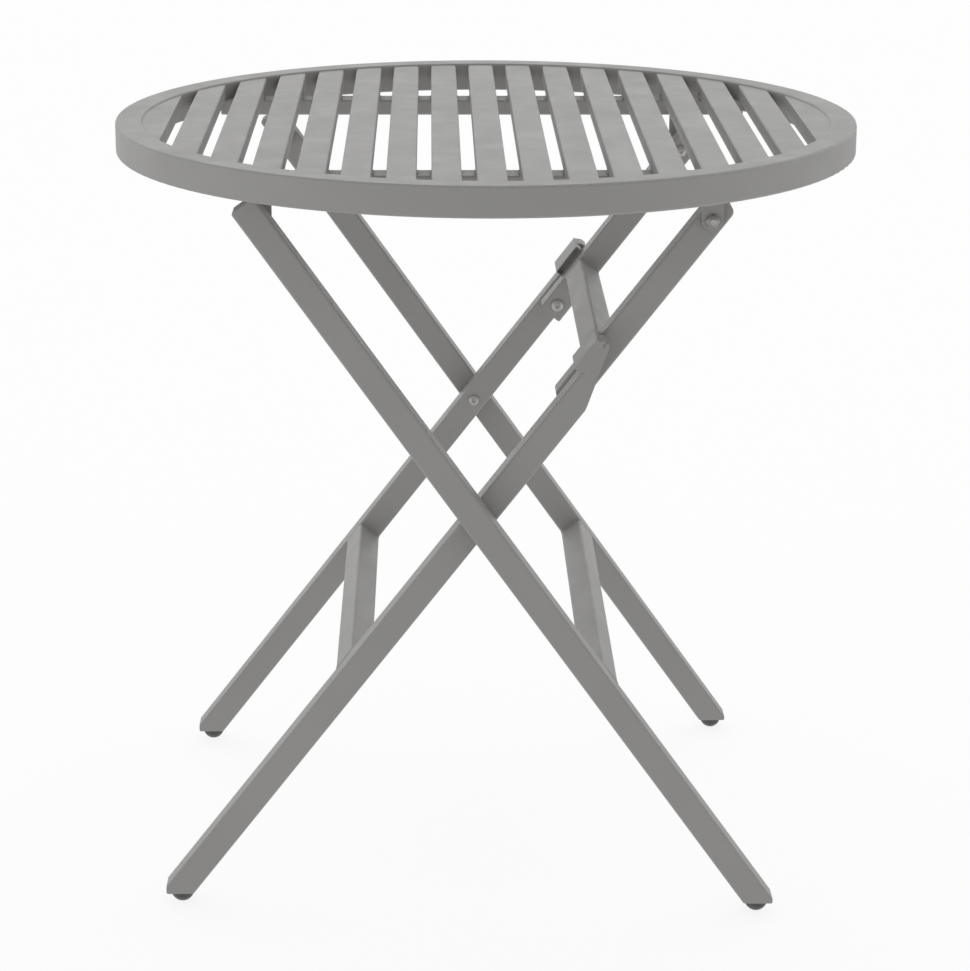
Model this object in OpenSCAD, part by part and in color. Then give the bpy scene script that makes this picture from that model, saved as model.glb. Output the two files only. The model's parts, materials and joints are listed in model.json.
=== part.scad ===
// Folding bistro table: round slatted top on a cross-legged frame with a knee joint.
// Frame: Z up from the floor, X along the fold plane, Y across the table.
// The origin is on the floor, below the centre of the round top.

/* [Table top] */
// Outer diameter of the round rim
top_d = 700; // [700:1:720]
// Height of the top above the floor
table_h = 715; // [712:1:720]
// Radial width of the rim tube
rim_w = 25; // [20:1:28]
// Height of the rim tube
rim_h = 28; // [26:1:30]
// Width of one slat
slat_w = 26; // [20:1:28]
// Open gap between two slats
slat_gap = 13; // [10:1:16]
// Depth of a slat
slat_t = 15; // [12:1:15]
// How far the slats sit below the rim's top edge
slat_drop = 1.5; // [0.5:0.5:2]
// Wall of the slats' thin tube and of the end segments' sheet
slat_wall = 0.8; // [0.8:0.1:1.5]
// Number of full slats, an odd number
slat_count = 15; // [11:2:15]
// Width of the two rails under the slats
rail_w = 30; // [26:1:30]
// Depth of the rails
rail_t = 15; // [12:1:15]

/* [Legs] */
// Side of the square leg tube
leg_w = 25; // [22:1:26]
// Wall of the leg, arm, rail and rim tubes
wall = 1.2; // [1:0.1:2]
// Edge radius of the leg tube
edge_r = 2.5; // [1.5:0.5:3]
// Length of the outer legs above their top pivot
outer_top_ext = 25; // [18:1:26]
// Length of the link arms above their top pivot
arm_top_ext = 20; // [15:1:22]
// Distance of the knee pivot above the cross pivot
knee_up = 139; // [137:1:140]
// Length of the lower arm end below the knee pivot
arm_knee_ext = 12.5; // [10:0.5:13]
// Length of the inner legs above the knee pivot
inner_top_ext = 61; // [56:1:62]
// Distance of the leg crossbars below the cross pivot
crossbar_down = 192; // [185:1:195]
// Distance of the arm crossbar above the knee pivot
link_up = 41; // [38:1:44]

/* [Pivots] */
// Outer legs' top pivot, X
outer_pivot_x = -203; // [-204:0.5:-202]
// Outer legs' top pivot, Z
outer_pivot_z = 657; // [656:0.5:658]
// Link arms' top pivot, X
arm_pivot_x = 200; // [199:0.5:201]
// Link arms' top pivot, Z
arm_pivot_z = 652; // [651:0.5:653]
// Cross pivot of the legs, X
cross_x = -8; // [-9:0.5:-7]
// Cross pivot of the legs, Z
cross_z = 382; // [381:0.5:383]
// Bolt radius at every pivot
bolt_r = 3; // [3:0.5:3.5]
// Radial running clearance of a turning bore
run_gap = 0.05; // [0.02:0.01:0.1]

/* [Feet] */
// Height of the glides below the leg ends
glide_h = 11; // [10:0.5:12]
// Radius of the glides
glide_r = 10; // [8.5:0.5:10]
// Distance of a glide's centre from the leg's toe
glide_inset = 14.5; // [14:0.5:16]

/* [Hidden] */
$fn = 64;

FRAME_GREY = [0.60, 0.59, 0.57];
BOLT_GREY = [0.72, 0.71, 0.70];
GLIDE_BLACK = [0.20, 0.20, 0.20];

top_r = top_d / 2;
slat_top = table_h - slat_drop;
slat_bottom = slat_top - slat_t;
slat_pitch = slat_w + slat_gap;
rail_bottom = slat_bottom - rail_t;

// Layers across the table, each as the distance from the middle plane
arm_y = 158.5;
inner_y = 195;
outer_y = 222.5;
tab_t = 3;
rail_y = arm_y + leg_w + 2 + tab_t;
rail_out_y = rail_y + rail_w;
tab_w = 20;
tab_lap = 1;
face_gap = 0.3;

// Direction of the legs, measured from the floor
outer_angle = atan2(outer_pivot_z - cross_z, cross_x - outer_pivot_x);
inner_angle = atan2(arm_pivot_z - cross_z, arm_pivot_x - cross_x);
outer_len = norm([outer_pivot_x - cross_x, outer_pivot_z - cross_z]);
inner_len = norm([arm_pivot_x - cross_x, arm_pivot_z - cross_z]);
leg_reach = 520;

// Foot ends: a flat cut above the glides and an upright cut at the toe
outer_foot_x = cross_x + (cross_z - glide_h) / tan(outer_angle);
inner_foot_x = cross_x - (cross_z - glide_h) / tan(inner_angle);
outer_half = leg_w / 2 / sin(outer_angle);
inner_half = leg_w / 2 / sin(inner_angle);
toe_cut = 3;
toe_trim = 5.5;
toe_r = 1.8;
glide_dome_r = 11;
plug_h = 14;

// Knee stop: a flat box on the inner legs that the arms come to rest under
stop_len = 34;
stop_end = 3;
stop_t = 7.5;
stop_lap = 7.5;
taper_start = 1;
taper_rise = 19;

head_h = 3.2;
knee_head_r = 6;
cross_head_r = 5.3;
tip_cut = 0.6;
insert_r = 4.2;
insert_len = 11;
nut_af = 11.5;
nut_h = 5;

// ---------- shared shapes ----------

// Rectangle with round corners, centred
module round_rect(w, h, r) {
    square([w - 2 * r, h], center = true);
    square([w, h - 2 * r], center = true);
    for (sx = [-1, 1], sy = [-1, 1])
        translate([sx * (w / 2 - r), sy * (h / 2 - r)]) circle(r);
}

// Wall section of a rectangular tube
module tube_section(w, h, r = edge_r, t = wall) {
    difference() {
        round_rect(w, h, r);
        round_rect(w - 2 * t, h - 2 * t, max(r - t, 0.5));
    }
}

// Extrudes a section of (Y, Z) along X from x0 to x1
module along_x(x0, x1) {
    translate([x0, 0, 0]) rotate([90, 0, 90]) linear_extrude(x1 - x0) children();
}

// Extrudes an outline of (X, Z) across Y from y0 to y1
module across_y(y0, y1) {
    translate([0, y1, 0]) rotate([90, 0, 0]) linear_extrude(y1 - y0) children();
}

// Cylinder along Y from y0 to y1
module pin_y(r, y0, y1) {
    translate([0, y0, 0]) rotate([-90, 0, 0]) cylinder(r = r, h = y1 - y0);
}

// Leg frames: X runs up the leg from the cross pivot, Z is the leg's upper side
module in_outer_frame() {
    translate([cross_x, 0, cross_z]) mirror([1, 0, 0]) rotate([0, -outer_angle, 0]) children();
}
module in_inner_frame() {
    translate([cross_x, 0, cross_z]) rotate([0, -inner_angle, 0]) children();
}

// Draws its children at the rear side and again, mirrored, at the front side
module both_sides() {
    children();
    mirror([0, 1, 0]) children();
}

// Side outline of a tube whose end at x1 has round corners, lower_r and upper_r
module end_outline(x0, x1, lower_r, upper_r) {
    difference() {
        translate([x0, -leg_w / 2]) square([x1 - x0, leg_w]);
        translate([x1 - upper_r, leg_w / 2 - upper_r]) corner_waste(upper_r);
        translate([x1 - lower_r, lower_r - leg_w / 2]) mirror([0, 1]) corner_waste(lower_r);
    }
}

// The corner that a round end takes away
module corner_waste(r) {
    difference() {
        square(r + 1);
        circle(r);
    }
}

// Keeps what lies above the foot cut and inside the toe cut, with a round corner between the two
module foot_trim(toe_x, side) {
    intersection() {
        children();
        across_y(-300, 300) difference() {
            translate([side > 0 ? toe_x - 900 : toe_x, glide_h]) square([900, 800]);
            translate([toe_x - side * toe_r, glide_h + toe_r])
                rotate(side > 0 ? -90 : 180) corner_waste(toe_r);
        }
    }
}

module leg_tube(x0, x1) {
    along_x(x0, x1) tube_section(leg_w, leg_w);
}
module leg_hollow(x0, x1) {
    along_x(x0, x1) round_rect(leg_w - 2 * wall, leg_w - 2 * wall, edge_r - wall);
}

// Button-head screw: the head is at y0 and the shank runs out to y1, where its tip is bevelled
module screw(y0, y1, head_r = 5.5) {
    translate([0, y0, 0]) rotate([-90, 0, 0]) rotate_extrude()
        polygon([[0, 0], [bolt_r, 0], [bolt_r, y1 - y0 - tip_cut],
                 [bolt_r - tip_cut, y1 - y0], [0, y1 - y0]]);
    difference() {
        translate([0, y0 - head_h, 0]) rotate([-90, 0, 0]) rotate_extrude() head_profile(head_r);
        pin_socket(y0 - head_h);
    }
}
module head_profile(head_r) {
    intersection() {
        square([head_r, head_h]);
        translate([0, head_r * 2]) circle(head_r * 2);
    }
    translate([0, head_h * 0.55]) square([head_r, head_h * 0.45]);
}
module pin_socket(y0) {
    translate([0, y0 - 1, 0]) rotate([-90, 0, 0]) cylinder(r = 2.3, h = 2.6, $fn = 6);
}
module washer(r, y0, y1) {
    difference() {
        pin_y(r, y0, y1);
        pin_y(bolt_r, y0 - 1, y1 + 1);
    }
}
module threaded_insert(y0) {
    difference() {
        pin_y(insert_r, y0, y0 + insert_len);
        pin_y(bolt_r, y0 - 1, y0 + insert_len + 1);
    }
}

// ---------- table top ----------

module rim() {
    color(FRAME_GREY)
        translate([0, 0, table_h - rim_h / 2])
        rotate_extrude($fn = 180)
        translate([top_r - rim_w / 2, 0]) tube_section(rim_w, rim_h, 2);
}

// Everything inside the rim's inner wall
module inside_rim(z0, z1) {
    translate([0, 0, z0]) cylinder(r = top_r - rim_w, h = z1 - z0, $fn = 180);
}

module slat(i) {
    x = (i - (slat_count + 1) / 2) * slat_pitch;
    color(FRAME_GREY) intersection() {
        inside_rim(slat_bottom, slat_top);
        translate([x, 0, (slat_top + slat_bottom) / 2])
            rotate([0, 0, 90]) along_x(-top_r, top_r) tube_section(slat_w, slat_t, 2, slat_wall);
    }
}

// Sheet pan that fills the rim beyond the last slat: a flat top with edges folded down
module end_segment(side) {
    x0 = (slat_count + 1) / 2 * slat_pitch - slat_w / 2;
    color(FRAME_GREY) difference() {
        segment_block(side, x0, 0);
        translate([0, 0, -slat_wall]) segment_block(side, x0, slat_wall);
    }
}
module segment_block(side, x0, inset) {
    intersection() {
        translate([0, 0, slat_bottom])
            cylinder(r = top_r - rim_w - inset, h = slat_t, $fn = 180);
        translate([side > 0 ? x0 + inset : -x0 - inset - rim_w * 4, -top_r, slat_bottom])
            cube([rim_w * 4, top_d, slat_t]);
    }
}

module rail(side) {
    color(FRAME_GREY) intersection() {
        inside_rim(rail_bottom, slat_bottom);
        translate([0, side * (rail_y + rail_w / 2), (slat_bottom + rail_bottom) / 2])
            along_x(-top_r, top_r) tube_section(rail_w, rail_t, 2);
    }
}

// Hanging tab with a round lower end around a pivot
module bracket(x, z, y0) {
    difference() {
        across_y(y0, y0 + tab_t) {
            translate([x, z]) circle(tab_w / 2);
            translate([x - tab_w / 2, z]) square([tab_w, slat_bottom - tab_lap - z]);
        }
        translate([x, 0, z]) pin_y(bolt_r + run_gap, y0 - 1, y0 + tab_t + 1);
    }
}

module outer_leg_brackets() {
    color(FRAME_GREY) both_sides() bracket(outer_pivot_x, outer_pivot_z, rail_out_y);
}

module arm_brackets() {
    color(FRAME_GREY) both_sides() bracket(arm_pivot_x, arm_pivot_z, rail_y - tab_t);
}

module arm_pivot_bolts() {
    color(BOLT_GREY) both_sides() translate([arm_pivot_x, 0, arm_pivot_z])
        screw(arm_y - face_gap, rail_y + nut_h + 0.6);
}

module arm_pivot_nuts() {
    color(BOLT_GREY) both_sides() translate([arm_pivot_x, 0, arm_pivot_z]) difference() {
        intersection() {
            translate([0, rail_y, 0]) rotate([-90, 0, 0])
                cylinder(r = nut_af / 2 / cos(30), h = nut_h, $fn = 6);
            translate([0, rail_y, 0]) rotate([-90, 0, 0]) rotate_extrude() nut_crown();
        }
        pin_y(bolt_r, rail_y - 1, rail_y + nut_h + 1);
        pin_y(bolt_r + 1.4, rail_y + nut_h - 1, rail_y + nut_h + 1);
    }
}
module nut_crown() {
    intersection() {
        square([nut_af, nut_h]);
        translate([0, nut_h - 8.2]) circle(8.2);
    }
    square([nut_af, nut_h / 2]);
}

module arm_pivot_washers() {
    color(BOLT_GREY) both_sides() translate([arm_pivot_x, 0, arm_pivot_z])
        washer(7, arm_y + leg_w + face_gap, rail_y - tab_t);
}

// ---------- outer leg frame ----------

outer_end = outer_len + outer_top_ext;

// The outer leg's outline, seen from the side and trimmed at the foot
module outer_leg_shape() {
    foot_trim(outer_foot_x + outer_half - toe_cut, 1)
        in_outer_frame() across_y(outer_y - 1, outer_y + leg_w + 1)
        end_outline(-leg_reach, outer_end, 3, 7);
}

module outer_leg() {
    difference() {
        intersection() {
            outer_leg_shape();
            in_outer_frame() translate([0, outer_y + leg_w / 2, 0]) leg_tube(-leg_reach, outer_end);
        }
        for (p = [[outer_pivot_x, outer_pivot_z], [cross_x, cross_z]])
            translate([p[0], 0, p[1]]) pin_y(insert_r, outer_y - 1, outer_y + wall + 1);
    }
}

module outer_leg_front() { color(FRAME_GREY) mirror([0, 1, 0]) outer_leg(); }
module outer_leg_rear() { color(FRAME_GREY) outer_leg(); }

module outer_crossbar() {
    color(FRAME_GREY) in_outer_frame() translate([-crossbar_down, 0, 0])
        across_y(-outer_y, outer_y) tube_section(leg_w, leg_w);
}

// Plate that closes the tube end: what is left of the outline after a shift down the leg
module end_plate(y0, x1, lower_r, upper_r) {
    intersection() {
        across_y(y0, y0 + leg_w) difference() {
            end_outline(x1 - 20, x1, lower_r, upper_r);
            translate([-2, 0]) end_outline(x1 - 20, x1, lower_r, upper_r);
        }
        translate([0, y0 + leg_w / 2, 0]) leg_hollow(x1 - 10, x1);
    }
}

module outer_leg_caps() {
    color(FRAME_GREY) both_sides() in_outer_frame() end_plate(outer_y, outer_end, 3, 7);
}

module outer_pivot_bolts() {
    color(BOLT_GREY) both_sides() translate([outer_pivot_x, 0, outer_pivot_z])
        screw(rail_out_y - face_gap, outer_y + insert_len - 2);
}

module outer_pivot_inserts() {
    color(BOLT_GREY) both_sides() translate([outer_pivot_x, 0, outer_pivot_z]) {
        threaded_insert(outer_y);
        washer(7, rail_out_y + tab_t + face_gap, outer_y);
    }
}

module cross_pivot_inserts() {
    color(BOLT_GREY) both_sides() translate([cross_x, 0, cross_z]) threaded_insert(outer_y);
}

// Glide: a plug inside the tube and a round dome with a small flat under it
module glide(x, y, toe_x, side) {
    color(GLIDE_BLACK) {
        translate([x, y, 0]) rotate_extrude() glide_profile();
        intersection() {
            foot_trim(toe_x, side) children();
            translate([x - 60, y - 30, glide_h]) cube([120, 60, plug_h]);
        }
    }
}
module glide_profile() {
    translate([0, glide_h - 2]) square([glide_r + 0.6, 2]);
    intersection() {
        square([glide_r, glide_h]);
        translate([0, glide_dome_r - 0.3]) circle(glide_dome_r);
    }
}

module outer_glide(side) {
    toe_x = outer_foot_x + outer_half - toe_cut;
    glide(toe_x - glide_inset, side * (outer_y + leg_w / 2), toe_x, 1)
        in_outer_frame() translate([0, side * (outer_y + leg_w / 2), 0])
        leg_hollow(-leg_reach, -leg_reach / 2);
}
module glide_outer_front() { outer_glide(-1); }
module glide_outer_rear() { outer_glide(1); }

// ---------- link arms ----------

arm_end = inner_len + arm_top_ext;
arm_start = knee_up - arm_knee_ext;

module arm() {
    difference() {
        in_inner_frame() intersection() {
            across_y(arm_y - 1, arm_y + leg_w + 1) arm_outline();
            translate([0, arm_y + leg_w / 2, 0]) leg_tube(arm_start, arm_end);
        }
        in_inner_frame() translate([knee_up, 0, 0])
            pin_y(bolt_r + run_gap, arm_y - 1, arm_y + leg_w + 1);
        translate([arm_pivot_x, 0, arm_pivot_z])
            pin_y(bolt_r + run_gap, arm_y - 1, arm_y + leg_w + 1);
    }
}
module arm_outline() {
    intersection() {
        end_outline(arm_start, arm_end, 8, 2);
        translate([arm_start + arm_end, 0]) mirror([1, 0]) end_outline(arm_start, arm_end, 2, 5);
    }
}

module arm_front() { color(FRAME_GREY) mirror([0, 1, 0]) arm(); }
module arm_rear() { color(FRAME_GREY) arm(); }

module arm_crossbar() {
    color(FRAME_GREY) in_inner_frame() translate([knee_up + link_up, 0, 0])
        across_y(-arm_y, arm_y) tube_section(leg_w, leg_w);
}

module arm_top_caps() {
    color(FRAME_GREY) both_sides() in_inner_frame() end_plate(arm_y, arm_end, 8, 2);
}

module arm_knee_caps() {
    color(FRAME_GREY) both_sides() in_inner_frame()
        translate([arm_start * 2, 0, 0]) mirror([1, 0, 0]) end_plate(arm_y, arm_start, 2, 5);
}

// ---------- inner leg frame ----------

inner_end = knee_up + inner_top_ext;

// Upper end of the inner leg: tapered on its lower side, which lies along the rail when folded
module inner_outline() {
    polygon([
        [-leg_reach, -leg_w / 2],
        [knee_up - taper_start, -leg_w / 2],
        [inner_end - stop_end, taper_rise - leg_w / 2],
        [inner_end, leg_w / 2 - 4],
        [inner_end, leg_w / 2],
        [-leg_reach, leg_w / 2]
    ]);
}

module inner_leg() {
    difference() {
        foot_trim(inner_foot_x - inner_half + toe_trim, -1) in_inner_frame() intersection() {
            across_y(inner_y - 1, inner_y + leg_w + 1) inner_outline();
            translate([0, inner_y + leg_w / 2, 0]) leg_tube(-leg_reach, inner_end);
        }
        in_inner_frame() {
            pin_y(bolt_r, inner_y - 1, inner_y + leg_w + 1);
            translate([knee_up, 0, 0]) pin_y(insert_r, inner_y - 1, inner_y + wall + 1);
        }
    }
}

module inner_leg_front() { color(FRAME_GREY) mirror([0, 1, 0]) inner_leg(); }
module inner_leg_rear() { color(FRAME_GREY) inner_leg(); }

module inner_crossbar() {
    color(FRAME_GREY) in_inner_frame() translate([-crossbar_down, 0, 0])
        across_y(-inner_y, inner_y) tube_section(leg_w, leg_w);
}

module inner_leg_caps() {
    color(FRAME_GREY) both_sides() in_inner_frame() intersection() {
        across_y(inner_y, inner_y + leg_w) difference() {
            inner_outline();
            translate([-5, 0]) inner_outline();
        }
        translate([0, inner_y + leg_w / 2, 0]) leg_hollow(0, inner_end);
    }
}

module knee_stop() {
    x1 = inner_end - stop_end;
    in_inner_frame() {
        difference() {
            translate([x1 - stop_len / 2, 0, (leg_w + stop_t) / 2])
                across_y(inner_y - 19, inner_y + leg_w) round_rect(stop_len, stop_t, 1.5);
            translate([x1 - stop_len / 2, 0, (leg_w + stop_t) / 2])
                across_y(inner_y - 20, inner_y - 13)
                round_rect(stop_len - 2 * wall, stop_t - 2 * wall, 0.5);
            translate([x1 - stop_len - 1, inner_y - 20, leg_w / 2 - 1])
                cube([stop_len + 2, 9, 1 + face_gap]);
        }
        // Lip that fills the leg's round edge, so that leg and stop are one face outside
        along_x(x1 - stop_len + 1.5, x1 - 1.5) difference() {
            translate([inner_y + leg_w - edge_r, leg_w / 2 - edge_r]) square(edge_r);
            translate([inner_y + leg_w - edge_r, leg_w / 2 - edge_r]) circle(edge_r + 0.02);
            translate([inner_y + leg_w - edge_r, leg_w / 2 - edge_r]) square([0.3, edge_r]);
            translate([inner_y + leg_w - edge_r, leg_w / 2 - edge_r]) square([edge_r, 0.3]);
        }
    }
}

module knee_stop_front() { color(FRAME_GREY) mirror([0, 1, 0]) knee_stop(); }
module knee_stop_rear() { color(FRAME_GREY) knee_stop(); }

module knee_bolts() {
    color(BOLT_GREY) both_sides() in_inner_frame() translate([knee_up, 0, 0])
        screw(arm_y - face_gap, inner_y + insert_len - 2, knee_head_r);
}

module knee_spacers() {
    color(BOLT_GREY) both_sides() in_inner_frame() translate([knee_up, 0, 0])
        washer(7, arm_y + leg_w + face_gap, inner_y);
}

module knee_inserts() {
    color(BOLT_GREY) both_sides() in_inner_frame() translate([knee_up, 0, 0]) threaded_insert(inner_y);
}

module cross_pivot_bolts() {
    color(BOLT_GREY) both_sides() in_inner_frame() screw(inner_y, outer_y - face_gap, cross_head_r);
}

module cross_pivot_washers() {
    color(BOLT_GREY) both_sides() in_inner_frame() washer(7, inner_y + leg_w, outer_y - face_gap);
}

module inner_glide(side) {
    toe_x = inner_foot_x - inner_half + toe_trim;
    glide(toe_x + glide_inset, side * (inner_y + leg_w / 2), toe_x, -1)
        in_inner_frame() translate([0, side * (inner_y + leg_w / 2), 0])
        leg_hollow(-leg_reach, -leg_reach / 2);
}
module glide_inner_front() { inner_glide(-1); }
module glide_inner_rear() { inner_glide(1); }

// ---------- the model ----------

rim();
end_segment(-1);  // end_segment_left
end_segment(1);  // end_segment_right
slat(1);  // slat_01
slat(2);  // slat_02
slat(3);  // slat_03
slat(4);  // slat_04
slat(5);  // slat_05
slat(6);  // slat_06
slat(7);  // slat_07
slat(8);  // slat_08
slat(9);  // slat_09
slat(10);  // slat_10
slat(11);  // slat_11
slat(12);  // slat_12
slat(13);  // slat_13
slat(14);  // slat_14
slat(15);  // slat_15
rail(-1);  // rail_front
rail(1);  // rail_rear
outer_leg_brackets();
arm_brackets();
arm_pivot_bolts();
arm_pivot_nuts();
arm_pivot_washers();
outer_leg_front();
outer_leg_rear();
outer_crossbar();
outer_leg_caps();
outer_pivot_bolts();
outer_pivot_inserts();
cross_pivot_inserts();
glide_outer_front();
glide_outer_rear();
arm_front();
arm_rear();
arm_crossbar();
arm_top_caps();
arm_knee_caps();
inner_leg_front();
inner_leg_rear();
inner_crossbar();
inner_leg_caps();
knee_stop_front();
knee_stop_rear();
knee_bolts();
knee_spacers();
knee_inserts();
cross_pivot_bolts();
cross_pivot_washers();
glide_inner_front();
glide_inner_rear();
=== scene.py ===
import json
import math

import bmesh
import bpy
from mathutils import Matrix, Vector


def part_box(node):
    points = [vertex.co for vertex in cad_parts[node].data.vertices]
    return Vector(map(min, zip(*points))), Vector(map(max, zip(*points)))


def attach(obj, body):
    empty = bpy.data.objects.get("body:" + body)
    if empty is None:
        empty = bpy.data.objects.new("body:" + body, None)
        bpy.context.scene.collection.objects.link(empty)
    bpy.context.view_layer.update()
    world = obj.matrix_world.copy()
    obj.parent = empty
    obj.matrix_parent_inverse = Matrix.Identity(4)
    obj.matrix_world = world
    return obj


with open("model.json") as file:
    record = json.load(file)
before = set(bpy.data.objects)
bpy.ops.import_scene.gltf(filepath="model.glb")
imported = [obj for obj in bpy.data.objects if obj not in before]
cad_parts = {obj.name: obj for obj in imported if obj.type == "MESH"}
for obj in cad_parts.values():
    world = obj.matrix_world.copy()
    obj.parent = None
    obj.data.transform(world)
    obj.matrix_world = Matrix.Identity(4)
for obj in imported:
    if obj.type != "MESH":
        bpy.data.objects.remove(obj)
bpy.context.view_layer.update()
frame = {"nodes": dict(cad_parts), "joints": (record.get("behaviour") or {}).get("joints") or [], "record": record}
scene = bpy.context.scene

# ---------------------------------------------------------------- places (metres)
pivots = {j["name"]: Vector(j["pos_m"]) for j in frame["joints"]}
P1, P4, P3 = pivots["outer_fold"], pivots["arm_fold"], pivots["knee_fold"]
low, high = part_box("cross_pivot_bolts")
P2 = Vector(((low.x + high.x) / 2, 0, (low.z + high.z) / 2))


def leg_axes(top):
    """Directions up a leg and out of its upper side, from the cross pivot to its top pivot."""
    up = (top - P2).normalized()
    out = Vector((-up.z, 0, up.x))
    return (up, out) if out.z > 0 else (up, -out)


OUTER_UP, OUTER_OUT = leg_axes(P1)
INNER_UP, INNER_OUT = leg_axes(P4)
KNEE = (P3 - P2).length     # how far up the inner leg the knee pivot is
LEG = 0.025                 # side of a square leg tube
RIM_IN = 0.325              # inner radius of the rim


# ---------------------------------------------------------------- materials
def new_material(name):
    """A material, its node tree, its shader, and the object coordinates in it."""
    m = bpy.data.materials.new(name)
    m.use_nodes = True
    nt = m.node_tree
    coords = nt.nodes.new("ShaderNodeTexCoord").outputs["Object"]
    return m, nt, nt.nodes["Principled BSDF"], coords


def node(nt, kind, **values):
    n = nt.nodes.new(kind)
    for k, v in values.items():
        if k.startswith("in_"):
            n.inputs[k[3:].replace("_", " ")].default_value = v
        else:
            setattr(n, k, v)
    return n


def noise(nt, coords, scale, detail=2.0, rough=0.5):
    """Noise with a scale in cells per metre."""
    n = node(nt, "ShaderNodeTexNoise", in_Scale=scale, in_Detail=detail, in_Roughness=rough)
    nt.links.new(coords, n.inputs["Vector"])
    return n.outputs["Fac"]


def remap(nt, value, from_low, from_high, to_low=0, to_high=1):
    n = node(nt, "ShaderNodeMapRange", in_From_Min=from_low, in_From_Max=from_high,
             in_To_Min=to_low, in_To_Max=to_high)
    nt.links.new(value, n.inputs["Value"])
    return n.outputs["Result"]


def maths(nt, op, a, b):
    n = node(nt, "ShaderNodeMath", operation=op)
    for i, v in enumerate((a, b)):
        if isinstance(v, (int, float)):
            n.inputs[i].default_value = v
        else:
            nt.links.new(v, n.inputs[i])
    return n.outputs[0]


def times(nt, a, b):
    return maths(nt, "MULTIPLY", a, b)


def mix(nt, fac, a, b):
    """Colour a where fac is 0, b where it is 1."""
    n = node(nt, "ShaderNodeMix", data_type="RGBA")
    nt.links.new(fac, n.inputs[0])
    for i, v in ((6, a), (7, b)):       # 6, 7 and output 2 are the node's colour sockets
        if isinstance(v, tuple):
            n.inputs[i].default_value = (*v, 1)
        else:
            nt.links.new(v, n.inputs[i])
    return n.outputs[2]


def bump(nt, height, strength, distance, normal):
    n = node(nt, "ShaderNodeBump", in_Strength=strength, in_Distance=distance)
    nt.links.new(height, n.inputs["Height"])
    nt.links.new(normal, n.inputs["Normal"])
    return n.outputs["Normal"]


def edge_mask(nt, radius, low_dot=0.86, high_dot=0.985):
    """0 on flat ground and 1 on an edge, with the softened normal that goes with it."""
    soft = node(nt, "ShaderNodeBevel", samples=6, in_Radius=radius)
    geo = nt.nodes.new("ShaderNodeNewGeometry")
    dot = node(nt, "ShaderNodeVectorMath", operation="DOT_PRODUCT")
    nt.links.new(soft.outputs[0], dot.inputs[0])
    nt.links.new(geo.outputs["Normal"], dot.inputs[1])
    return remap(nt, dot.outputs["Value"], high_dot, low_dot), soft.outputs[0]


def shade(colour, factor):
    return tuple(min(1, c * factor) for c in colour)


def powder_coat(name, colour):
    """Cloudy tone with fine flecks, a grain over orange peel, and slightly worn edges."""
    m, nt, bsdf, coords = new_material(name)
    edge, soft = edge_mask(nt, radius=0.0006)
    broken = remap(nt, noise(nt, coords, scale=260, detail=4, rough=0.6), 0.40, 0.62)
    worn = times(nt, edge, broken)
    cloud = remap(nt, noise(nt, coords, scale=7, detail=3), 0.3, 0.7)
    fleck = remap(nt, noise(nt, coords, scale=1500), 0.35, 0.65)
    dark, lit, bare = shade(colour, 0.955), shade(colour, 1.03), shade(colour, 1.16)
    base = mix(nt, cloud, dark, lit)
    base = mix(nt, times(nt, fleck, 0.10), base, dark)
    base = mix(nt, times(nt, worn, 0.55), base, bare)
    nt.links.new(base, bsdf.inputs["Base Color"])
    rough = remap(nt, noise(nt, coords, scale=40, detail=3), 0.3, 0.7, 0.46, 0.58)
    rough = maths(nt, "ADD", rough, times(nt, worn, -0.08))
    nt.links.new(rough, bsdf.inputs["Roughness"])
    fine = noise(nt, coords, scale=1900, detail=3, rough=0.6)
    grain = bump(nt, fine, strength=0.22, distance=0.00006, normal=soft)
    coarse = noise(nt, coords, scale=420)
    peel = bump(nt, coarse, strength=0.25, distance=0.00012, normal=grain)
    nt.links.new(peel, bsdf.inputs["Normal"])
    bsdf.inputs["Specular IOR Level"].default_value = 0.42
    return m


def plated_steel(name, colour, edge_radius, highlight_gain):
    """Hazy metal with fine turning marks, and its edges painted brighter as a painted highlight."""
    m, nt, bsdf, coords = new_material(name)
    edge, soft = edge_mask(nt, edge_radius)
    stretch = node(nt, "ShaderNodeMapping", in_Scale=(1, 6, 1))
    nt.links.new(coords, stretch.inputs["Vector"])
    turned = noise(nt, stretch.outputs[0], scale=1400, detail=3)
    haze = remap(nt, noise(nt, coords, scale=120, detail=3), 0.35, 0.65)
    base = mix(nt, haze, shade(colour, 0.86), colour)
    # painted highlight: the base colour is made brighter on the edges, standing in for the light they catch
    base = mix(nt, times(nt, edge, 0.5), base, shade(colour, highlight_gain))
    nt.links.new(base, bsdf.inputs["Base Color"])
    nt.links.new(remap(nt, haze, 0, 1, 0.52, 0.42), bsdf.inputs["Roughness"])
    marks = bump(nt, turned, strength=0.25, distance=0.00004, normal=soft)
    nt.links.new(marks, bsdf.inputs["Normal"])
    bsdf.inputs["Metallic"].default_value = 0.85
    return m


def moulded_plastic(name, colour):
    """Dark plastic with pale scuffs, most of them on its edges."""
    m, nt, bsdf, coords = new_material(name)
    edge, soft = edge_mask(nt, radius=0.0005, low_dot=0.80, high_dot=0.97)
    scuff = remap(nt, noise(nt, coords, scale=420, detail=5, rough=0.7), 0.5, 0.7)
    worn = times(nt, edge, scuff)
    base = mix(nt, times(nt, scuff, 0.25), colour, shade(colour, 1.9))
    base = mix(nt, times(nt, worn, 0.5), base, shade(colour, 3.2))
    nt.links.new(base, bsdf.inputs["Base Color"])
    nt.links.new(remap(nt, scuff, 0, 1, 0.42, 0.62), bsdf.inputs["Roughness"])
    pores = bump(nt, noise(nt, coords, scale=2300), strength=0.35, distance=0.00006, normal=soft)
    nt.links.new(pores, bsdf.inputs["Normal"])
    return m


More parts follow.
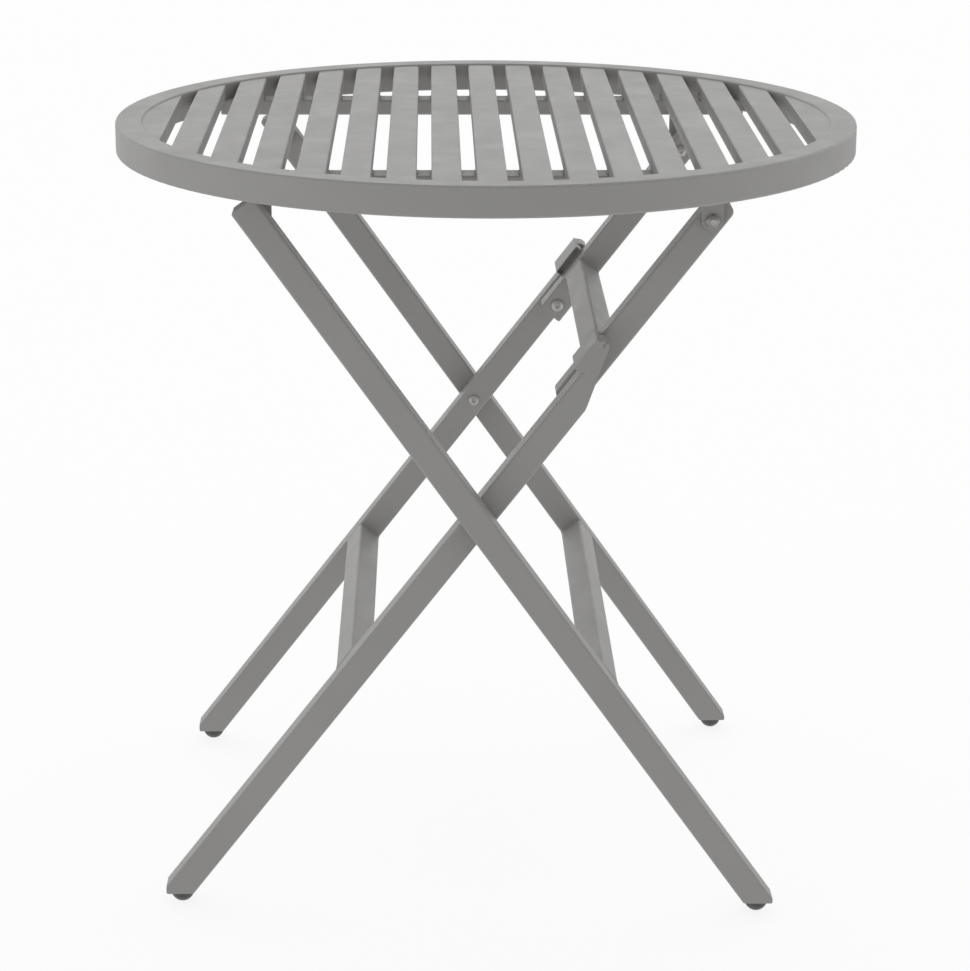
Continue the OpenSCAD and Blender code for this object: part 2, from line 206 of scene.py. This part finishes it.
FRAME = powder_coat("powder_coat_grey", (0.345, 0.340, 0.331))
# the plated parts' edges carry a painted highlight, a stronger one on the nuts and washers
STEEL = plated_steel("zinc_plated_steel", (0.53, 0.525, 0.51), edge_radius=0.0003, highlight_gain=1.2)
DULL_STEEL = plated_steel("dull_zinc_steel", (0.38, 0.377, 0.37), edge_radius=0.0005, highlight_gain=2.2)
GLIDE = moulded_plastic("glide_plastic", (0.085, 0.085, 0.084))

slots = {s["node"]: s["material_slot"] for s in frame["record"]["subparts"]}
finish_of = {"frame": FRAME, "hardware": STEEL, "glide": GLIDE}
for name, o in frame["nodes"].items():
    o.data.materials.clear()
    dull = name in ("arm_pivot_nuts", "arm_pivot_washers")
    o.data.materials.append(DULL_STEEL if dull else finish_of[slots[name]])


# ---------------------------------------------------------------- welds
def add_mesh(name, bm, body):
    """A smooth powder-coated piece that moves with a body."""
    mesh = bpy.data.meshes.new(name)
    bmesh.ops.recalc_face_normals(bm, faces=bm.faces)
    for f in bm.faces:
        f.smooth = True
    bm.to_mesh(mesh)
    bm.free()
    o = bpy.data.objects.new(name, mesh)
    scene.collection.objects.link(o)
    mesh.materials.append(FRAME)
    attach(o, body)


BEAD_STEP, BEAD_SIDES = 0.0007, 8
RIPPLE_PITCH, RIPPLE_LOW, RIPPLE_RISE, RIPPLE_SHAPE = 0.0019, 0.90, 0.16, 0.7
TIP_SIZE, TIP_GROWTH = 0.55, 0.25


def resample(points, closed):
    pts = [Vector(p) for p in points] + ([Vector(points[0])] if closed else [])
    out = []
    for a, b in zip(pts, pts[1:]):
        n = max(1, round((b - a).length / BEAD_STEP))
        out += [a.lerp(b, k / n) for k in range(n)]
    return out if closed else out + [pts[-1]]


def bead(bm, points, radius, closed=False):
    """A weld bead along a path: a round bead with the fish-scale ripple of its passes."""
    path = resample(points, closed)
    count = len(path)
    rings, run = [], 0.0
    for i, p in enumerate(path):
        before = path[i - 1] if closed or i else path[0]
        after = path[(i + 1) % count] if closed or i < count - 1 else path[-1]
        along = (after - before).normalized()
        ref = Vector((0, 1, 0)) if abs(along.y) < 0.8 else Vector((0, 0, 1))
        u = along.cross(ref).normalized()
        v = along.cross(u)
        if i:
            run += (p - path[i - 1]).length
        phase = run / RIPPLE_PITCH % 1
        r = radius * (RIPPLE_LOW + RIPPLE_RISE * (1 - phase) ** RIPPLE_SHAPE)
        if not closed:
            r *= min(1, TIP_SIZE + TIP_GROWTH * min(i, count - 1 - i))
        rings.append([bm.verts.new(p + r * (math.cos(a) * u + math.sin(a) * v))
                      for a in (2 * math.pi * k / BEAD_SIDES for k in range(BEAD_SIDES))])
    pairs = list(zip(rings, rings[1:])) + ([(rings[-1], rings[0])] if closed else [])
    for a, b in pairs:
        for k in range(BEAD_SIDES):
            after = (k + 1) % BEAD_SIDES
            bm.faces.new((a[k], a[after], b[after], b[k]))
    if not closed:
        bm.faces.new(rings[0])
        bm.faces.new(list(reversed(rings[-1])))


CORNER_STEPS = 4


def rounded_loop(centre, u, v, half_u, half_v, r):
    pts = []
    for su, sv, start in ((1, 1, 0), (-1, 1, 90), (-1, -1, 180), (1, -1, 270)):
        for k in range(CORNER_STEPS + 1):
            a = math.radians(start + 90 / CORNER_STEPS * k)
            pts.append(centre + u * (su * (half_u - r) + r * math.cos(a))
                       + v * (sv * (half_v - r) + r * math.sin(a)))
    return pts


BAR_FILLET, TUBE_CORNER = 0.0013, 0.0025
BAR_INWARD, BAR_PROUD, BAR_SUNK = 0.0004, 0.0001, 0.0008


def crossbar_welds(name, body, bar, up, out):
    """A bead round each end of a crossbar, sunk a little where it would pass the leg's edge."""
    lo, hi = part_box(bar)
    bm = bmesh.new()
    for y, inward in ((lo.y, 1), (hi.y, -1)):
        c = Vector(((lo.x + hi.x) / 2, y + inward * BAR_INWARD, (lo.z + hi.z) / 2))
        loop = rounded_loop(c, up, out, LEG / 2 + BAR_PROUD, LEG / 2 - BAR_SUNK, TUBE_CORNER)
        bead(bm, loop, BAR_FILLET, closed=True)
    add_mesh(name, bm, body)


crossbar_welds("outer_frame_welds", "outer_frame", "outer_crossbar", OUTER_UP, OUTER_OUT)
crossbar_welds("arm_welds", "arms", "arm_crossbar", INNER_UP, INNER_OUT)
crossbar_welds("inner_frame_welds", "inner_frame", "inner_crossbar", INNER_UP, INNER_OUT)

# Where the knee stops meet their legs, the welds are ground flush with this face
STOP_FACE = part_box("knee_stop_rear")[1].y
GROUND_ALONG, GROUND_ACROSS = (0.0255, 0.0562), (0.0075, 0.0150)
SKIN_SINK, SKIN_RISE, SKIN_BACK, SKIN_FADE = 0.00010, 0.00022, 0.00040, 3
LONG_STEPS, CROSS_STEPS = 16, 8


def beside_knee(side, along, across, y):
    """A place given by its distances up the inner leg from the knee, and out of the leg."""
    at = P2 + INNER_UP * along + INNER_OUT * across
    return at.x, side * y, at.z


def ground_weld(bm, side):
    """A skin whose edge lies just under the face and whose middle is just above it, so that
    stop and leg read as one face."""
    rows = []
    for i in range(LONG_STEPS + 1):
        u = i / LONG_STEPS
        fade = min(1, SKIN_FADE * math.sin(math.pi * u))
        s = KNEE + GROUND_ALONG[0] + (GROUND_ALONG[1] - GROUND_ALONG[0]) * u
        row = []
        for k in range(CROSS_STEPS + 1):
            v = k / CROSS_STEPS
            rise = SKIN_RISE * fade * math.sin(math.pi * v) - SKIN_SINK
            n = GROUND_ACROSS[0] + (GROUND_ACROSS[1] - GROUND_ACROSS[0]) * v
            row.append([bm.verts.new(beside_knee(side, s, n, STOP_FACE + h))
                        for h in (rise, -SKIN_BACK)])
        rows.append(row)
    for layer in (0, 1):
        for a, b in zip(rows, rows[1:]):
            for k in range(CROSS_STEPS):
                bm.faces.new((a[k][layer], a[k + 1][layer], b[k + 1][layer], b[k][layer]))
    edge = [r[0] for r in rows] + rows[-1][1:] + [r[-1] for r in rows[-2::-1]] + rows[0][-2:0:-1]
    for a, b in zip(edge, edge[1:] + edge[:1]):
        bm.faces.new((a[0], b[0], b[1], a[1]))


bm = bmesh.new()
for side in (-1, 1):
    ground_weld(bm, side)
add_mesh("knee_stop_ground_welds", bm, "inner_frame")

# Outline of the weld at a stop's upper end: up the leg from the knee, and out of the leg
END_FILLET = [(0.0570, 0.0122), (0.0610, 0.0122), (0.0610, 0.0126), (0.0602, 0.0145),
              (0.0592, 0.0163), (0.0581, 0.0178), (0.0570, 0.0178)]
END_INSET, END_SINK = 0.0002, 0.00003
SHARP = math.radians(35)


def stop_end_fillet(bm, side):
    """The ground weld between the stop's upper end and the tip of the leg."""
    rings = [[bm.verts.new(beside_knee(side, KNEE + s, n, y)) for s, n in END_FILLET]
             for y in (STOP_FACE - LEG + END_INSET, STOP_FACE - END_SINK)]
    count = len(END_FILLET)
    for k in range(count):
        after = (k + 1) % count
        bm.faces.new((rings[0][k], rings[0][after], rings[1][after], rings[1][k]))
    bm.faces.new(rings[0])
    bm.faces.new(rings[1])


bm = bmesh.new()
for side in (-1, 1):
    stop_end_fillet(bm, side)
bmesh.ops.recalc_face_normals(bm, faces=bm.faces)
for edge in bm.edges:
    edge.smooth = edge.calc_face_angle(0) < SHARP
add_mesh("knee_stop_end_welds", bm, "inner_frame")

# The top: slats to the rails and the rim, rails to the rim, tabs to the rails
FILLET, TAB_FILLET = 0.0011, 0.0012
PROUD = 0.0002
SLAT_BEAD_HALF, RIM_GAP = 0.010, 0.004
SLAT_SIDE, SLAT_RIM_SINK, ARC_STEPS = 0.003, 0.0003, 6
RAIL_RIM_SINK, RAIL_FOOT, RAIL_HEAD = 0.0004, 0.0045, 0.001
TAB_FOOT, TAB_HEAD = 0.0025, 0.0015
bm = bmesh.new()
rails = [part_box("rail_front"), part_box("rail_rear")]
for name in sorted(n for n in frame["nodes"] if n.startswith("slat_")):
    lo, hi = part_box(name)
    for x, outward in ((lo.x, -1), (hi.x, 1)):
        for r_lo, r_hi in rails:
            if math.hypot(x, max(abs(r_lo.y), abs(r_hi.y))) > RIM_IN - RIM_GAP:
                continue
            mid = (r_lo.y + r_hi.y) / 2
            bead(bm, [(x + outward * PROUD / 2, mid + d, lo.z + PROUD)
                      for d in (-SLAT_BEAD_HALF, SLAT_BEAD_HALF)], FILLET)
    for end in (-1, 1):
        arc = []
        for k in range(ARC_STEPS + 1):
            x = lo.x + SLAT_SIDE + (hi.x - lo.x - 2 * SLAT_SIDE) * k / ARC_STEPS
            y = end * math.sqrt((RIM_IN - SLAT_RIM_SINK) ** 2 - x * x)
            arc.append((x, y, lo.z - PROUD / 2))
        bead(bm, arc, FILLET)
for r_lo, r_hi in rails:
    for y, outward in ((r_lo.y, -1), (r_hi.y, 1)):
        for end in (-1, 1):
            x = end * math.sqrt((RIM_IN - RAIL_RIM_SINK) ** 2 - y * y)
            bead(bm, [(x, y + outward * PROUD, z)
                      for z in (r_lo.z + RAIL_FOOT, r_hi.z - RAIL_HEAD)], FILLET)
rail_low, rail_high = rails[0][0].z, rails[0][1].z
for tabs, inset, outward in (("outer_leg_brackets", 0.003, 1), ("arm_brackets", 0, -1)):
    lo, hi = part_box(tabs)
    y = hi.y - inset + outward * PROUD
    for side in (-1, 1):
        for x in (lo.x - PROUD / 2, hi.x + PROUD / 2):
            bead(bm, [(x, side * y, z)
                      for z in (rail_low + TAB_FOOT, rail_high - TAB_HEAD)], TAB_FILLET)
add_mesh("top_welds", bm, "tabletop")

# ---------------------------------------------------------------- floor, backdrop, light
FLOOR_HALF, BACKDROP_RADIUS = 14, 30
FLOOR_COLOUR, FLOOR_GLOW, BACKDROP_GLOW = (0.20, 0.20, 0.20, 1), 0.84, 1.0


def bare_material(name):
    m = bpy.data.materials.new(name)
    m.use_nodes = True
    m.node_tree.nodes.clear()
    return m, m.node_tree, m.node_tree.nodes.new("ShaderNodeOutputMaterial")


def floor_material():
    """Pale and nearly shadowless, and clear when looked at from below."""
    m, nt, out = bare_material("pale_floor")
    diffuse = node(nt, "ShaderNodeBsdfDiffuse", in_Color=FLOOR_COLOUR)
    glow = node(nt, "ShaderNodeEmission", in_Strength=FLOOR_GLOW)
    both = nt.nodes.new("ShaderNodeAddShader")
    clear = nt.nodes.new("ShaderNodeBsdfTransparent")
    pick = nt.nodes.new("ShaderNodeMixShader")
    geo = nt.nodes.new("ShaderNodeNewGeometry")
    nt.links.new(diffuse.outputs[0], both.inputs[0])
    nt.links.new(glow.outputs[0], both.inputs[1])
    nt.links.new(geo.outputs["Backfacing"], pick.inputs[0])
    nt.links.new(both.outputs[0], pick.inputs[1])
    nt.links.new(clear.outputs[0], pick.inputs[2])
    nt.links.new(pick.outputs[0], out.inputs["Surface"])
    return m


def backdrop_material():
    m, nt, out = bare_material("pale_backdrop")
    glow = node(nt, "ShaderNodeEmission", in_Strength=BACKDROP_GLOW)
    nt.links.new(glow.outputs[0], out.inputs["Surface"])
    return m


def stage_mesh(name, bm, material):
    """Seen by the camera, and neither lighting nor shading the table."""
    mesh = bpy.data.meshes.new(name)
    bm.to_mesh(mesh)
    bm.free()
    mesh.materials.append(material)
    o = bpy.data.objects.new(name, mesh)
    scene.collection.objects.link(o)
    for ray in ("diffuse", "glossy", "transmission", "volume_scatter", "shadow"):
        setattr(o, "visible_" + ray, False)


bm = bmesh.new()
bmesh.ops.create_grid(bm, x_segments=8, y_segments=8, size=FLOOR_HALF)
stage_mesh("floor", bm, floor_material())
bm = bmesh.new()
bmesh.ops.create_icosphere(bm, subdivisions=4, radius=BACKDROP_RADIUS)
stage_mesh("backdrop", bm, backdrop_material())

# A white studio: brightest above and behind, pale low down, and a soft light from the left
FRONT_LIGHT, REAR_LIGHT = 0.52, 0.977
LOW_LIGHT, LOW_SIDE_LIGHT = 0.679, 0.41
LEFT_LIGHT, LEFT_FOCUS, LEVEL_FOCUS = 0.232, 2.0, 6.0
HORIZON = 0.02
world = bpy.data.worlds.new("studio")
scene.world = world
world.use_nodes = True
nt = world.node_tree
coords = nt.nodes.new("ShaderNodeTexCoord").outputs["Generated"]
split = nt.nodes.new("ShaderNodeSeparateXYZ")
nt.links.new(coords, split.inputs[0])
x, y, z = (split.outputs[axis] for axis in "XYZ")
rear = times(nt, maths(nt, "MAXIMUM", y, 0.0), REAR_LIGHT)
upper = maths(nt, "ADD", rear, FRONT_LIGHT)
sides = times(nt, times(nt, x, x), LOW_SIDE_LIGHT)
lower = maths(nt, "ADD", sides, LOW_LIGHT)
above = remap(nt, z, -HORIZON, HORIZON)
dome = maths(nt, "ADD", lower, times(nt, above, maths(nt, "SUBTRACT", upper, lower)))
left = maths(nt, "POWER", maths(nt, "MAXIMUM", times(nt, x, -1.0), 0.0), LEFT_FOCUS)
level = maths(nt, "POWER", maths(nt, "SUBTRACT", 1.0, times(nt, z, z)), LEVEL_FOCUS)
glow = times(nt, times(nt, left, level), LEFT_LIGHT)
background = nt.nodes["Background"]
nt.links.new(maths(nt, "ADD", dome, glow), background.inputs["Strength"])
background.inputs["Color"].default_value = (1, 1, 1, 1)

scene.view_settings.view_transform = "Standard"
scene.view_settings.look = "None"

# ---------------------------------------------------------------- camera
CAMERA_PLACE = Vector((-0.052778, -2.753387, 1.182571))
FOCAL_PIXELS, FRAME_WIDTH, SENSOR = 2916.007, 970, 36
yaw, pitch, roll = (math.radians(a) for a in (1.103, 16.868, 0.195))
forward = Vector((math.sin(yaw) * math.cos(pitch), math.cos(yaw) * math.cos(pitch),
                  -math.sin(pitch)))
right = Vector((math.cos(yaw), -math.sin(yaw), 0))
up = right.cross(forward)
cam_right = math.cos(roll) * right + math.sin(roll) * up
cam_up = math.cos(roll) * up - math.sin(roll) * right
camera = bpy.data.objects.new("camera", bpy.data.cameras.new("camera"))
scene.collection.objects.link(camera)
place = Matrix((cam_right, cam_up, -forward)).transposed().to_4x4()
place.translation = CAMERA_PLACE
camera.matrix_world = place
camera.data.sensor_fit = "HORIZONTAL"
camera.data.sensor_width = SENSOR
camera.data.lens = FOCAL_PIXELS / FRAME_WIDTH * SENSOR
camera.data.clip_start, camera.data.clip_end = 0.05, 100
scene.camera = camera
